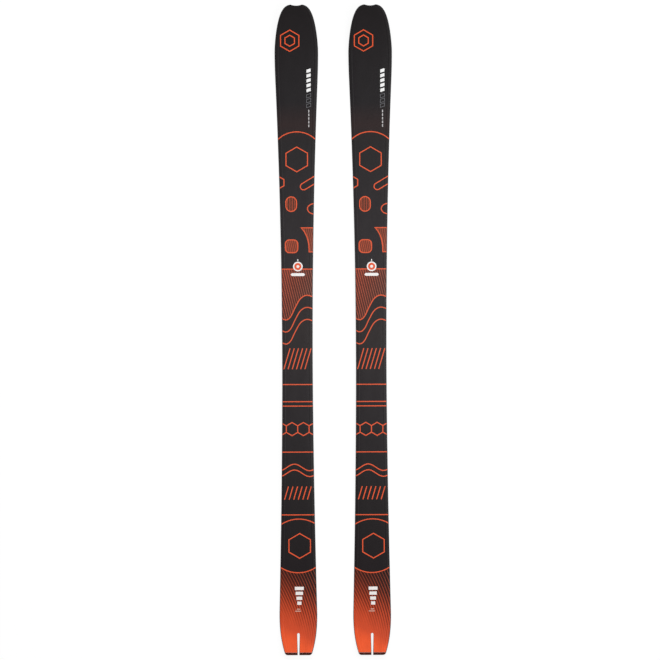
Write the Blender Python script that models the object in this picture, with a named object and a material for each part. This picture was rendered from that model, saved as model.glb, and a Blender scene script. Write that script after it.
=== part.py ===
"""A pair of touring skis lying side by side on their bases, tips towards +Y.

Each ski is a stack of separate layers, as it is pressed in the mould: running base, steel
edges on rubber foil, lower laminate, wood core between sidewalls, plastic tip and tail
fillers, a metal plate where a binding is screwed on, upper laminate, topsheet and tail caps.

Lengths are metres. A station is a distance from the tail end of the ski, along +Y.
"""
import math

import bmesh
import bpy

# Outline
SKI_LENGTH = 1.780
SKI_SPACING = 0.202  # between the two centre lines
WAIST_WIDTH = 0.084
SHOVEL_WIDTH = 0.119
TAIL_WIDTH = 0.1035
TAIL_END_WIDTH = 0.0715
WAIST_AT = 0.808
SHOVEL_WIDEST_AT = 1.610  # from about here the nose curve takes over from the sidecut
TAIL_WIDEST_AT = 0.115
REAR_SIDECUT_POWER = 1.7
TAIL_POWER = 2.4
NOSE_LENGTH = 0.133  # over which the rounded nose takes over from the sidecut
NOSE_HALF_WIDTH = 0.0598
NOSE_FULLNESS = 1.62
NOSE_BLUNTNESS = 3.76
NOSE_CUT = 0.0006  # taken off the nose curve's very end, which leaves it flat there
NOSE_BLEND = 80
TAIL_CORNER_RADIUS = 0.006

# Side profile
FRONT_CONTACT = 1.450
REAR_CONTACT = 0.130
CAMBER = 0.004
TIP_RISE = 0.058
TIP_RISE_POWER = 2.3
TAIL_RISE = 0.012
END_THICKNESS = 0.0058
MIDDLE_THICKNESS = 0.0115
THINNEST_REAR = 0.050
THINNEST_FRONT = 1.620
PLATE_REAR = 0.620
PLATE_FRONT = 0.980

# Layers, measured up from the base or down from the topsheet
GAP = 0.0003
BASE_THICKNESS = 0.0012
EDGE_HEIGHT = 0.0020
EDGE_HEAD = 0.0020
EDGE_WIDTH = 0.0065
FLANGE_BOTTOM = BASE_THICKNESS + GAP
RUBBER_BOTTOM = EDGE_HEIGHT + GAP
RUBBER_THICKNESS = 0.0003
RUBBER_INSET = 0.0004
SIDEWALL_BOTTOM = RUBBER_BOTTOM + RUBBER_THICKNESS + GAP
LAMINATE_THICKNESS = 0.0006
CORE_BOTTOM = FLANGE_BOTTOM + LAMINATE_THICKNESS + GAP
TOPSHEET_THICKNESS = 0.0006
UNDER_TOPSHEET = TOPSHEET_THICKNESS + GAP
UNDER_LAMINATE = UNDER_TOPSHEET + LAMINATE_THICKNESS + GAP
PLATE_THICKNESS = 0.0006
UNDER_PLATE = UNDER_LAMINATE + PLATE_THICKNESS + GAP

# Widths of the layers, measured in from the outline
BEVEL_INSET = 0.010  # the topsheet is flat up to here and slopes from here outwards
BEVEL_SHARE = 0.24  # of the ski's thickness that the slope comes down
TOPSHEET_INSET = 0.0012
SIDEWALL_INSET = 0.0003
SIDEWALL_WIDTH = 0.008
CORE_CENTRE_HALF_WIDTH = 0.015
FILLER_INSET = 0.0003

# Where the layers start and stop. The base, edges, core and sidewalls are divided at SPLIT_AT,
# and the base also at both ends of the core, so that each length is nearly straight.
EDGE_REAR = 0.065
EDGE_FRONT = 1.560
CORE_REAR = REAR_CONTACT
CORE_FRONT = FRONT_CONTACT
SPLIT_AT = 0.800
LAMINATE_REAR = EDGE_REAR
LAMINATE_FRONT = 1.765
CAP_DEPTH = 0.0065
LAYERS_REAR = CAP_DEPTH + GAP

NOSE_AT = 1.700  # from here on the stations close up towards the tip

# Tip notch and tail slot
NOTCH_HALF_WIDTH = 0.0155
NOTCH_DEPTH = 0.003
SLOT_LENGTH = 0.060
SLOT_HALF_WIDTH = 0.0034
SLOT_MOUTH_HALF_WIDTH = 0.0023

GRID = (
    (LAYERS_REAR, EDGE_REAR, 4),
    (EDGE_REAR, REAR_CONTACT, 4),
    (REAR_CONTACT, PLATE_REAR, 10),
    (PLATE_REAR, SPLIT_AT, 3),
    (SPLIT_AT, PLATE_FRONT, 3),
    (PLATE_FRONT, FRONT_CONTACT, 9),
    (FRONT_CONTACT, EDGE_FRONT, 5),
    (EDGE_FRONT, NOSE_AT, 5),
)
NOSE_STATIONS = 10
CAP_STATIONS = 6
ROUND_SIDES = 96

# Colour (linear RGB), roughness and metallic value of each kind of piece
MATERIALS = {
    "base": ((0.012, 0.012, 0.013), 0.45, 0.0),
    "edge": ((0.46, 0.47, 0.48), 0.30, 1.0),
    "rubber": ((0.02, 0.02, 0.02), 0.85, 0.0),
    "laminate": ((0.46, 0.44, 0.33), 0.50, 0.0),
    "core_centre": ((0.55, 0.39, 0.22), 0.75, 0.0),
    "core_stringer": ((0.42, 0.27, 0.14), 0.75, 0.0),
    "filler": ((0.020, 0.020, 0.022), 0.50, 0.0),
    "plate": ((0.60, 0.60, 0.61), 0.35, 1.0),
    "sidewall": ((0.018, 0.018, 0.019), 0.55, 0.0),
    "topsheet": ((0.030, 0.029, 0.031), 0.38, 0.0),
    "cap": ((0.030, 0.016, 0.011), 0.45, 0.0),
}


def smooth_step(t):
    """0 to 1 with a level start and end, for t from 0 to 1."""
    t = min(1.0, max(0.0, t))
    return t * t * (3.0 - 2.0 * t)


def front_half_width(s):
    """Sidecut ahead of the waist, and the nose, blended so that the widest place has no corner."""
    forward = (s - WAIST_AT) / (SHOVEL_WIDEST_AT - WAIST_AT)
    sidecut = (WAIST_WIDTH + (SHOVEL_WIDTH - WAIST_WIDTH) * forward**2) / 2
    from_end = SKI_LENGTH + NOSE_CUT - s
    left = max(0.0, 1.0 - from_end / NOSE_LENGTH)
    nose = NOSE_HALF_WIDTH * (1.0 - left**NOSE_FULLNESS) ** (1 / NOSE_BLUNTNESS)
    return sidecut / (1.0 + (sidecut / nose) ** NOSE_BLEND) ** (1 / NOSE_BLEND)


def rear_half_width(s):
    """Sidecut behind the waist, and the tail, which draws in towards its end."""
    if s > TAIL_WIDEST_AT:
        back = (WAIST_AT - s) / (WAIST_AT - TAIL_WIDEST_AT)
        return (WAIST_WIDTH + (TAIL_WIDTH - WAIST_WIDTH) * back**REAR_SIDECUT_POWER) / 2
    drawn_in = (TAIL_WIDEST_AT - s) / TAIL_WIDEST_AT
    return (TAIL_WIDTH - (TAIL_WIDTH - TAIL_END_WIDTH) * drawn_in**TAIL_POWER) / 2


def half_width(s):
    return front_half_width(s) if s > WAIST_AT else rear_half_width(s)


def base_height(s):
    """Height of the running surface: raised tip and tail, and camber with a level middle."""
    if s > FRONT_CONTACT:
        return TIP_RISE * ((s - FRONT_CONTACT) / (SKI_LENGTH - FRONT_CONTACT)) ** TIP_RISE_POWER
    if s < REAR_CONTACT:
        return TAIL_RISE * ((REAR_CONTACT - s) / REAR_CONTACT) ** 2
    if s > PLATE_FRONT:
        return CAMBER * smooth_step((FRONT_CONTACT - s) / (FRONT_CONTACT - PLATE_FRONT))
    return CAMBER * smooth_step((s - REAR_CONTACT) / (PLATE_REAR - REAR_CONTACT))


def thickness(s):
    if s > PLATE_FRONT:
        share = smooth_step((THINNEST_FRONT - s) / (THINNEST_FRONT - PLATE_FRONT))
    else:
        share = smooth_step((s - THINNEST_REAR) / (PLATE_REAR - THINNEST_REAR))
    return END_THICKNESS + (MIDDLE_THICKNESS - END_THICKNESS) * share


def bevel_drop(s, inset):
    """How far the topsheet has sloped down at this distance in from the outline."""
    reach = max(0.0, BEVEL_INSET - inset) / (BEVEL_INSET - TOPSHEET_INSET)
    return BEVEL_SHARE * thickness(s) * reach


def stations(start, end, extra=()):
    """Stations from start to end: the shared grid between them, and any extra ones."""
    shared = [a + (b - a) * i / count for a, b, count in GRID for i in range(count)]
    nose = SKI_LENGTH - NOSE_AT
    shared += [SKI_LENGTH - nose * (1 - i / NOSE_STATIONS) ** 2 for i in range(NOSE_STATIONS)]
    kept = [s for s in shared if start + 0.002 < s < end - 0.0005]
    kept = [s for s in kept if all(abs(s - e) > 0.002 for e in extra)]
    return sorted([start, end, *extra, *kept])


def band(half, bottom, top):
    """Section of a flat layer, centred on the ski."""
    return [(-half, bottom), (half, bottom), (half, top), (-half, top)]


def strip(hand, inner, outer, bottom, top):
    """Section of a flat strip on one side of the ski."""
    return [(hand * x, z) for x, z in ((inner, bottom), (outer, bottom), (outer, top), (inner, top))]


def within(s, rear, front):
    """True between rear and front, and up to 1.5 gaps past them, halfway along a step."""
    return rear - 1.5 * GAP < s < front + 1.5 * GAP


def step_behind(s):
    """The two stations of a step in a section, just behind a piece that starts at s."""
    return (s - 2 * GAP, s - GAP)


def step_ahead(s):
    """The two stations of a step in a section, just ahead of a piece that ends at s."""
    return (s + GAP, s + 2 * GAP)


def base_section(s):
    """As wide as the ski, less the heads of the edges where it has edges."""
    inset = EDGE_HEAD + GAP if within(s, EDGE_REAR, EDGE_FRONT) else 0.0
    return band(half_width(s) - inset, 0.0, BASE_THICKNESS)


def edge_section(s, hand):
    """A head beside the base and a flange that reaches in over it."""
    outer = half_width(s)
    head = outer - EDGE_HEAD
    inner = outer - EDGE_WIDTH
    points = [(outer, 0.0), (outer, EDGE_HEIGHT), (inner, EDGE_HEIGHT)]
    points += [(inner, FLANGE_BOTTOM), (head, FLANGE_BOTTOM), (head, 0.0)]
    return [(hand * x, z) for x, z in points]


def rubber_section(s, hand):
    outer = half_width(s)
    top = RUBBER_BOTTOM + RUBBER_THICKNESS
    return strip(hand, outer - EDGE_WIDTH, outer - RUBBER_INSET, RUBBER_BOTTOM, top)


def lower_laminate_section(s):
    half = half_width(s) - EDGE_WIDTH - GAP
    return band(half, FLANGE_BOTTOM, FLANGE_BOTTOM + LAMINATE_THICKNESS)


def core_top(s):
    """Lower under the binding plate."""
    under_plate = within(s, PLATE_REAR, PLATE_FRONT)
    return thickness(s) - (UNDER_PLATE if under_plate else UNDER_LAMINATE)


def core_centre_section(s):
    return band(CORE_CENTRE_HALF_WIDTH - GAP / 2, CORE_BOTTOM, core_top(s))


def core_stringer_section(s, hand):
    outer = half_width(s) - SIDEWALL_WIDTH - GAP
    return strip(hand, CORE_CENTRE_HALF_WIDTH + GAP / 2, outer, CORE_BOTTOM, core_top(s))


def plate_section(s):
    top = thickness(s) - UNDER_LAMINATE
    return band(half_width(s) - BEVEL_INSET - 2 * GAP, top - PLATE_THICKNESS, top)


def upper_laminate_section(s):
    top = thickness(s) - UNDER_TOPSHEET
    return band(half_width(s) - BEVEL_INSET - GAP, top - LAMINATE_THICKNESS, top)


def sidewall_section(s, hand):
    """Upright on the inside, leaning in on the outside, with the slope of the topsheet on top."""
    outline = half_width(s)
    under = thickness(s) - UNDER_TOPSHEET
    points = [(outline - SIDEWALL_WIDTH, SIDEWALL_BOTTOM), (outline - SIDEWALL_INSET, SIDEWALL_BOTTOM)]
    for inset in (TOPSHEET_INSET, SIDEWALL_WIDTH):
        points.append((outline - inset, under - bevel_drop(s, inset)))
    return [(hand * x, z) for x, z in points]


def filler_section(s):
    """Full width over the rubber and stepped down between the edges, or deep where it has none."""
    outline = half_width(s)
    over_edges = within(s, EDGE_REAR, EDGE_FRONT)
    wing_bottom = SIDEWALL_BOTTOM if over_edges else FLANGE_BOTTOM
    keel_bottom = CORE_BOTTOM if over_edges else FLANGE_BOTTOM
    under_laminate = within(s, LAMINATE_REAR, LAMINATE_FRONT)
    top = thickness(s) - (UNDER_LAMINATE if under_laminate else UNDER_TOPSHEET)
    shoulder = outline - BEVEL_INSET
    side = [
        (outline - EDGE_WIDTH - GAP, keel_bottom),
        (outline - EDGE_WIDTH - GAP / 2, wing_bottom),
        (outline - FILLER_INSET, wing_bottom),
        (outline - TOPSHEET_INSET, thickness(s) - UNDER_TOPSHEET - bevel_drop(s, TOPSHEET_INSET)),
        (shoulder + GAP / 3, thickness(s) - UNDER_TOPSHEET),
        (shoulder, top),
    ]
    return side + [(-x, z) for x, z in reversed(side)]


def topsheet_section(s):
    """A sheet that is flat in the middle and slopes down towards both sides."""
    outline = half_width(s)
    side = outline - TOPSHEET_INSET
    flat = outline - BEVEL_INSET
    top = thickness(s)
    low = top - bevel_drop(s, TOPSHEET_INSET)
    upper = [(-side, low), (-flat, top), (flat, top), (side, low)]
    return upper + [(x, z - TOPSHEET_THICKNESS) for x, z in reversed(upper)]


def cap_section(s, hand):
    """Half of the strip across the tail end, its outer corner rounded."""
    corner = max(0.0, TAIL_CORNER_RADIUS - s)
    rounded_off = TAIL_CORNER_RADIUS - math.sqrt(TAIL_CORNER_RADIUS**2 - corner**2)
    outer = half_width(s) - rounded_off
    shoulder = outer - (BEVEL_INSET - TOPSHEET_INSET)
    low = thickness(s) - bevel_drop(s, TOPSHEET_INSET)
    points = [(SLOT_MOUTH_HALF_WIDTH, 0.0), (outer, 0.0), (outer, low)]
    points += [(shoulder, thickness(s)), (SLOT_MOUTH_HALF_WIDTH, thickness(s))]
    return [(hand * x, z) for x, z in points]


def make_material(kind):
    colour, roughness, metallic = MATERIALS[kind]
    material = bpy.data.materials.get(kind) or bpy.data.materials.new(kind)
    material.use_nodes = True
    material.diffuse_color = (*colour, 1.0)
    shader = material.node_tree.nodes["Principled BSDF"]
    shader.inputs["Base Color"].default_value = (*colour, 1.0)
    shader.inputs["Roughness"].default_value = roughness
    shader.inputs["Metallic"].default_value = metallic
    return material


def make_object(name, mesh, collection):
    piece = bpy.data.objects.new(name, mesh)
    collection.objects.link(piece)
    return piece


def loft(name, along, section, kind, ski):
    """A closed body through a section at each station, parented to its ski."""
    shape = bmesh.new()
    rings = []
    for s in along:
        lift = base_height(s)
        y = s - SKI_LENGTH / 2
        rings.append([shape.verts.new((x, y, lift + z)) for x, z in section(s)])
    for near, far in zip(rings, rings[1:]):
        for i in range(len(near)):
            j = (i + 1) % len(near)
            shape.faces.new((near[i], near[j], far[j], far[i]))
    shape.faces.new(rings[0])
    shape.faces.new(list(reversed(rings[-1])))
    bmesh.ops.recalc_face_normals(shape, faces=shape.faces)
    mesh = bpy.data.meshes.new(name)
    shape.to_mesh(mesh)
    shape.free()
    mesh.materials.append(make_material(kind))
    mesh.shade_smooth()
    mesh.set_sharp_from_angle(angle=math.radians(15))
    piece = make_object(name, mesh, ski.users_collection[0])
    piece.parent = ski
    return piece


def cutter_settings(cutter, ski):
    cutter.parent = ski
    cutter.hide_render = True
    cutter.display_type = "WIRE"


def notch_cutter(side, ski, cutters):
    """A cylinder whose side takes a shallow hollow out of the tip."""
    radius = (NOTCH_HALF_WIDTH**2 + NOTCH_DEPTH**2) / (2 * NOTCH_DEPTH)
    shape = bmesh.new()
    bmesh.ops.create_cone(
        shape, cap_ends=True, segments=ROUND_SIDES, radius1=radius, radius2=radius, depth=0.2
    )
    mesh = bpy.data.meshes.new(f"{side}_notch_cutter")
    shape.to_mesh(mesh)
    shape.free()
    cutter = make_object(mesh.name, mesh, cutters)
    cutter.location.y = SKI_LENGTH / 2 + radius - NOTCH_DEPTH
    cutter_settings(cutter, ski)
    return cutter


def slot_outline():
    """Half of the tail slot's outline, from its mouth to its round inner end."""
    points = [(SLOT_MOUTH_HALF_WIDTH, -0.01), (SLOT_MOUTH_HALF_WIDTH, CAP_DEPTH)]
    steps = 8
    for i in range(steps + 1):
        turn = math.pi / 2 * i / steps
        centre = SLOT_LENGTH - SLOT_HALF_WIDTH
        points.append((SLOT_HALF_WIDTH * math.cos(turn), centre + SLOT_HALF_WIDTH * math.sin(turn)))
    return points


def slot_cutter(side, ski, cutters):
    """The tail slot's outline as a filled curve, extruded and made a mesh."""
    half = slot_outline()
    outline = half + [(-x, s) for x, s in reversed(half[:-1])]
    curve = bpy.data.curves.new(f"{side}_slot_curve", "CURVE")
    curve.dimensions = "2D"
    curve.fill_mode = "BOTH"
    curve.extrude = 0.1
    spline = curve.splines.new("POLY")
    spline.points.add(len(outline) - 1)
    for point, (x, s) in zip(spline.points, outline):
        point.co = (x, s - SKI_LENGTH / 2, 0.0, 1.0)
    spline.use_cyclic_u = True
    guide = make_object(curve.name, curve, cutters)
    bpy.context.view_layer.update()
    graph = bpy.context.evaluated_depsgraph_get()
    mesh = bpy.data.meshes.new_from_object(guide.evaluated_get(graph))
    bpy.data.objects.remove(guide)
    shape = bmesh.new()
    shape.from_mesh(mesh)
    bmesh.ops.remove_doubles(shape, verts=shape.verts, dist=0.00001)
    bmesh.ops.recalc_face_normals(shape, faces=shape.faces)
    shape.to_mesh(mesh)
    shape.free()
    mesh.name = f"{side}_slot_cutter"
    cutter = make_object(mesh.name, mesh, cutters)
    cutter_settings(cutter, ski)
    return cutter


def cut(piece, cutter):
    boolean = piece.modifiers.new(cutter.name, "BOOLEAN")
    boolean.operation = "DIFFERENCE"
    boolean.object = cutter


def both_hands(side, name, along, section, kind, ski):
    """The same piece on the ski's outer side and on its inner side."""
    outward = -1 if side == "left" else 1
    for place, hand in (("outer", outward), ("inner", -outward)):
        loft(f"{side}_{name}_{place}", along, lambda s, hand=hand: section(s, hand), kind, ski)


def build_base(side, ski, notch, slot):
    """Four lengths, the tail and tip ones stepped out to full width past the edges."""
    tail_stations = stations(LAYERS_REAR, REAR_CONTACT - GAP, step_behind(EDGE_REAR))
    tail = loft(f"{side}_base_tail", tail_stations, base_section, "base", ski)
    cut(tail, slot)
    loft(f"{side}_base_rear", stations(REAR_CONTACT, SPLIT_AT - GAP), base_section, "base", ski)
    loft(f"{side}_base_front", stations(SPLIT_AT, FRONT_CONTACT - GAP), base_section, "base", ski)
    tip_stations = stations(FRONT_CONTACT, SKI_LENGTH, step_ahead(EDGE_FRONT))
    tip = loft(f"{side}_base_tip", tip_stations, base_section, "base", ski)
    cut(tip, notch)


def build_edges(side, ski):
    both_hands(side, "edge_rear", stations(EDGE_REAR, SPLIT_AT - GAP), edge_section, "edge", ski)
    both_hands(side, "edge_front", stations(SPLIT_AT, EDGE_FRONT), edge_section, "edge", ski)
    along = stations(EDGE_REAR, EDGE_FRONT)
    both_hands(side, "rubber", along, rubber_section, "rubber", ski)
    loft(f"{side}_lower_laminate", along, lower_laminate_section, "laminate", ski)


def build_core(side, ski):
    """The core's strips with the plate let into them, and the sidewalls beside them."""
    lengths = (
        ("rear", CORE_REAR + GAP, SPLIT_AT - GAP, step_behind(PLATE_REAR)),
        ("front", SPLIT_AT, CORE_FRONT - GAP, step_ahead(PLATE_FRONT)),
    )
    for place, start, end, plate_step in lengths:
        core = stations(start, end, plate_step)
        loft(f"{side}_core_centre_{place}", core, core_centre_section, "core_centre", ski)
        both_hands(side, f"core_stringer_{place}", core, core_stringer_section, "core_stringer", ski)
        wall = stations(start, end)
        both_hands(side, f"sidewall_{place}", wall, sidewall_section, "sidewall", ski)
    under_foot = stations(PLATE_REAR, PLATE_FRONT)
    loft(f"{side}_binding_plate", under_foot, plate_section, "plate", ski)


def build_fillers(side, ski, notch, slot):
    in_tail = stations(LAYERS_REAR, CORE_REAR, step_behind(EDGE_REAR))
    tail = loft(f"{side}_tail_filler", in_tail, filler_section, "filler", ski)
    cut(tail, slot)
    tip_steps = step_ahead(EDGE_FRONT) + step_ahead(LAMINATE_FRONT)
    in_tip = stations(CORE_FRONT, SKI_LENGTH, tip_steps)
    tip = loft(f"{side}_tip_filler", in_tip, filler_section, "filler", ski)
    cut(tip, notch)


def build_top(side, ski, notch, slot):
    under_sheet = stations(LAMINATE_REAR, LAMINATE_FRONT)
    loft(f"{side}_upper_laminate", under_sheet, upper_laminate_section, "laminate", ski)
    whole = stations(LAYERS_REAR, SKI_LENGTH)
    topsheet = loft(f"{side}_topsheet", whole, topsheet_section, "topsheet", ski)
    cut(topsheet, notch)
    cut(topsheet, slot)


def build_tail_caps(side, ski):
    turns = [math.pi / 2 * i / CAP_STATIONS for i in range(CAP_STATIONS + 1)]
    along = [TAIL_CORNER_RADIUS * (1 - math.cos(turn)) for turn in turns] + [CAP_DEPTH]
    both_hands(side, "tail_cap", along, cap_section, "cap", ski)


def build_ski(side, parts, cutters):
    ski = make_object(f"{side}_ski", None, parts)
    ski.location.x = -SKI_SPACING / 2 if side == "left" else SKI_SPACING / 2
    notch = notch_cutter(side, ski, cutters)
    slot = slot_cutter(side, ski, cutters)
    build_base(side, ski, notch, slot)
    build_edges(side, ski)
    build_core(side, ski)
    build_fillers(side, ski, notch, slot)
    build_top(side, ski, notch, slot)
    build_tail_caps(side, ski)


def main():
    for old in list(bpy.data.objects):
        bpy.data.objects.remove(old)
    parts = bpy.data.collections.new("touring_skis")
    cutters = bpy.data.collections.new("cutters")
    for collection in (parts, cutters):
        bpy.context.scene.collection.children.link(collection)
    for side in ("left", "right"):
        build_ski(side, parts, cutters)


main()
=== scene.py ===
"""Looks of a pair of touring skis: fine surfaces, printed graphics, materials, light and camera.

Every fine piece is modelled in its ski's own frame: X across the ski from its centre line, Y the
station ahead of the tail end, Z up from the floor. Lengths are metres. Only the topsheet's insets
and the printed graphics are in millimetres, the graphics as (x, station) points on the topsheet.
"""
import math

import bmesh
import bpy
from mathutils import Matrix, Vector
from mathutils.geometry import delaunay_2d_cdt


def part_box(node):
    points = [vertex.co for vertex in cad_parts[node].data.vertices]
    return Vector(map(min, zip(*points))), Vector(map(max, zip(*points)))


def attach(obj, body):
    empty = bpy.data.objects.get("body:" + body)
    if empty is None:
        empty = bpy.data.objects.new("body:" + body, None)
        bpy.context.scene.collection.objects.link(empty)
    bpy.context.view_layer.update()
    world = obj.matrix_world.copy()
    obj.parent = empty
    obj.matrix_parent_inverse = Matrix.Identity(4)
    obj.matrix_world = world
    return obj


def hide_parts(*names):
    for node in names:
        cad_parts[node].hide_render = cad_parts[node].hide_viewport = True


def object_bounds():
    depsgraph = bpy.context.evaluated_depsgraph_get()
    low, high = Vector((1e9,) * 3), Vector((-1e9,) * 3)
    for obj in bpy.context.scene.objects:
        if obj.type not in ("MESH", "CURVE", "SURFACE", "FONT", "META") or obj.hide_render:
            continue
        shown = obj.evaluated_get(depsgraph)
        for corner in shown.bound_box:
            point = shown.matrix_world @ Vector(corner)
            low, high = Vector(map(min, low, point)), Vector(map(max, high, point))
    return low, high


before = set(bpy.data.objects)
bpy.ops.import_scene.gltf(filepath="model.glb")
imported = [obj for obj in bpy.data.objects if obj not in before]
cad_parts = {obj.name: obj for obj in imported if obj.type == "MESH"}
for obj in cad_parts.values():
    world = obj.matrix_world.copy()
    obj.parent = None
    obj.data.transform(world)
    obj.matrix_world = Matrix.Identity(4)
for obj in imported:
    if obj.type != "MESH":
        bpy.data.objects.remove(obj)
cad_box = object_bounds()

# Outline of a ski, the same as the solids have
SKI_LENGTH = cad_box[1].y - cad_box[0].y
TAIL_END_Y = cad_box[0].y
WAIST_WIDTH = 0.084
SHOVEL_WIDTH = 0.119
TAIL_WIDTH = 0.1035
TAIL_END_WIDTH = 0.0715
WAIST_AT = 0.808
SHOVEL_WIDEST_AT = 1.610
TAIL_WIDEST_AT = 0.115
REAR_SIDECUT_POWER = 1.7
TAIL_POWER = 2.4
NOSE_LENGTH = 0.133
NOSE_HALF_WIDTH = 0.0598
NOSE_FULLNESS = 1.62
NOSE_BLUNTNESS = 3.76
NOSE_CUT = 0.0006
NOSE_BLEND = 80
TAIL_CORNER_RADIUS = 0.006
NOTCH_HALF_WIDTH = 0.0155
NOTCH_DEPTH = 0.003
SLOT_LENGTH = 0.060
SLOT_HALF_WIDTH = 0.0034
SLOT_MOUTH_HALF_WIDTH = 0.0023

# Cutters for the notch and the slot
NOTCH_STEPS = 40
NOTCH_REACH = 1.15  # the cutter's half width, in notch half widths
SLOT_ROUND_STEPS = 16
CUTTER_BOTTOM = -0.05
CUTTER_TOP = 0.15
CUT_BEYOND_TIP = 0.02
CUT_BEYOND_TAIL = 0.01

# Side profile
FRONT_CONTACT = 1.450
REAR_CONTACT = 0.130
CAMBER = 0.004
TIP_RISE = 0.058
TIP_RISE_POWER = 2.3
TAIL_RISE = 0.012
END_THICKNESS = 0.0058
MIDDLE_THICKNESS = 0.0115
THINNEST_REAR = 0.050
THINNEST_FRONT = 1.620
PLATE_REAR = 0.620
PLATE_FRONT = 0.980

# Layers
GAP = 0.0003
BASE_THICKNESS = 0.0012
EDGE_HEIGHT = 0.0020
EDGE_HEAD = 0.0020
EDGE_WIDTH = 0.0065
EDGE_ROUND = 0.0002
FLANGE_BOTTOM = BASE_THICKNESS + GAP
SIDEWALL_BOTTOM = 0.0029
CORE_BOTTOM = 0.0024
TOPSHEET_THICKNESS = 0.0006
UNDER_TOPSHEET = TOPSHEET_THICKNESS + GAP
UNDER_LAMINATE = 0.0018
BEVEL_INSET = 0.010
BEVEL_SHARE = 0.24
TOPSHEET_INSET = 0.0012
SIDEWALL_INSET = 0.0003
SIDEWALL_WIDTH = 0.008
EDGE_REAR = 0.065
EDGE_FRONT = 1.560
LAMINATE_FRONT = 1.765
CAP_DEPTH = 0.0065
LAYERS_REAR = CAP_DEPTH + GAP

# Fine shape of the topsheet: a shallow groove, a low lip outside it, a domed bevel, a rounded side
LIP_INSET = 0.0086
LIP_HEIGHT = 0.0002
GROOVE_INSET = 0.0108
GROOVE_DEPTH = 0.0003
GROOVE_START = 0.0140
BEVEL_DOME = 1.3
SIDE_ROUND = 0.0004
SHEET_INSETS = (  # in mm from the outline
    1.2, 1.25, 1.35, 1.6, 2.5, 4.0, 5.5, 7.0, 7.9, 8.6, 9.1, 9.7, 10.3, 10.8, 11.3, 12.4, 14.0,
)

# Steps along the ski
STEP = 0.005
CLEAR_OF_GIVEN = STEP / 8  # the least distance from a given station to a shared one
CLEAR_OF_END = STEP / 50
NOSE_AT = 1.700
NOSE_STATIONS = 26
CAP_CORNER_STEPS = 8
SHARP_ANGLE = math.radians(25)

# Printed graphics, in metres
MM = 0.001
PRINT_EDGE = 0.0015  # prints stop this far in from the sides and from the notch
PRINT_TAIL_EDGE = 0.0005
PRINT_SLOT_EDGE = 0.0004
PRINT_UNDERSIDE = 0.00003
PANEL_HEIGHT = 0.00002
HATCH_HEIGHT = 0.00004
LINE_HEIGHT = 0.00006
MARK_HEIGHT = 0.00008

# Printed graphics, in mm
LINE_WIDTH = 2.7
MARK_LINE_WIDTH = 1.2
MOUTH_DRAWN_IN = 0.1  # how much narrower the prints' slot is at its mouth
SAME_POINT = 0.01
CUT_TOLERANCE = 0.0001
GRID_MARGIN = 6.0

# How their lines are drawn
CURVE_STEPS = 14
MITRE_LIMIT = 0.4  # the least cosine that a corner's reach is divided by


def smooth_step(t):
    t = min(1.0, max(0.0, t))
    return t * t * (3.0 - 2.0 * t)


def front_half_width(s):
    forward = (s - WAIST_AT) / (SHOVEL_WIDEST_AT - WAIST_AT)
    sidecut = (WAIST_WIDTH + (SHOVEL_WIDTH - WAIST_WIDTH) * forward**2) / 2
    from_end = SKI_LENGTH + NOSE_CUT - s
    left = max(0.0, 1.0 - from_end / NOSE_LENGTH)
    nose = NOSE_HALF_WIDTH * (1.0 - left**NOSE_FULLNESS) ** (1 / NOSE_BLUNTNESS)
    return sidecut / (1.0 + (sidecut / nose) ** NOSE_BLEND) ** (1 / NOSE_BLEND)


def rear_half_width(s):
    if s > TAIL_WIDEST_AT:
        back = (WAIST_AT - s) / (WAIST_AT - TAIL_WIDEST_AT)
        return (WAIST_WIDTH + (TAIL_WIDTH - WAIST_WIDTH) * back**REAR_SIDECUT_POWER) / 2
    drawn_in = (TAIL_WIDEST_AT - s) / TAIL_WIDEST_AT
    return (TAIL_WIDTH - (TAIL_WIDTH - TAIL_END_WIDTH) * drawn_in**TAIL_POWER) / 2


def half_width(s):
    return front_half_width(s) if s > WAIST_AT else rear_half_width(s)


def base_height(s):
    if s > FRONT_CONTACT:
        return TIP_RISE * ((s - FRONT_CONTACT) / (SKI_LENGTH - FRONT_CONTACT)) ** TIP_RISE_POWER
    if s < REAR_CONTACT:
        return TAIL_RISE * ((REAR_CONTACT - s) / REAR_CONTACT) ** 2
    if s > PLATE_FRONT:
        return CAMBER * smooth_step((FRONT_CONTACT - s) / (FRONT_CONTACT - PLATE_FRONT))
    return CAMBER * smooth_step((s - REAR_CONTACT) / (PLATE_REAR - REAR_CONTACT))


def thickness(s):
    if s > PLATE_FRONT:
        share = smooth_step((THINNEST_FRONT - s) / (THINNEST_FRONT - PLATE_FRONT))
    else:
        share = smooth_step((s - THINNEST_REAR) / (PLATE_REAR - THINNEST_REAR))
    return END_THICKNESS + (MIDDLE_THICKNESS - END_THICKNESS) * share


def bevel_drop(s, inset):
    """How far the bevel has come down, this far in from the outline."""
    reach = max(0.0, BEVEL_INSET - inset) / (BEVEL_INSET - TOPSHEET_INSET)
    return BEVEL_SHARE * thickness(s) * reach


def sheet_drop(s, inset):
    """The same for the fine topsheet: its groove, its lip, its domed bevel and its rounded side."""
    if inset > GROOVE_INSET:
        return GROOVE_DEPTH * smooth_step((GROOVE_START - inset) / (GROOVE_START - GROOVE_INSET))
    if inset > LIP_INSET:
        up = smooth_step((GROOVE_INSET - inset) / (GROOVE_INSET - LIP_INSET))
        return GROOVE_DEPTH - (GROOVE_DEPTH + LIP_HEIGHT) * up
    out = (LIP_INSET - inset) / (LIP_INSET - TOPSHEET_INSET)
    domed = (BEVEL_SHARE * thickness(s) + LIP_HEIGHT) * out**BEVEL_DOME - LIP_HEIGHT
    near_side = max(0.0, TOPSHEET_INSET + SIDE_ROUND - inset)
    return domed + SIDE_ROUND - math.sqrt(max(0.0, SIDE_ROUND**2 - near_side**2))


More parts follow.
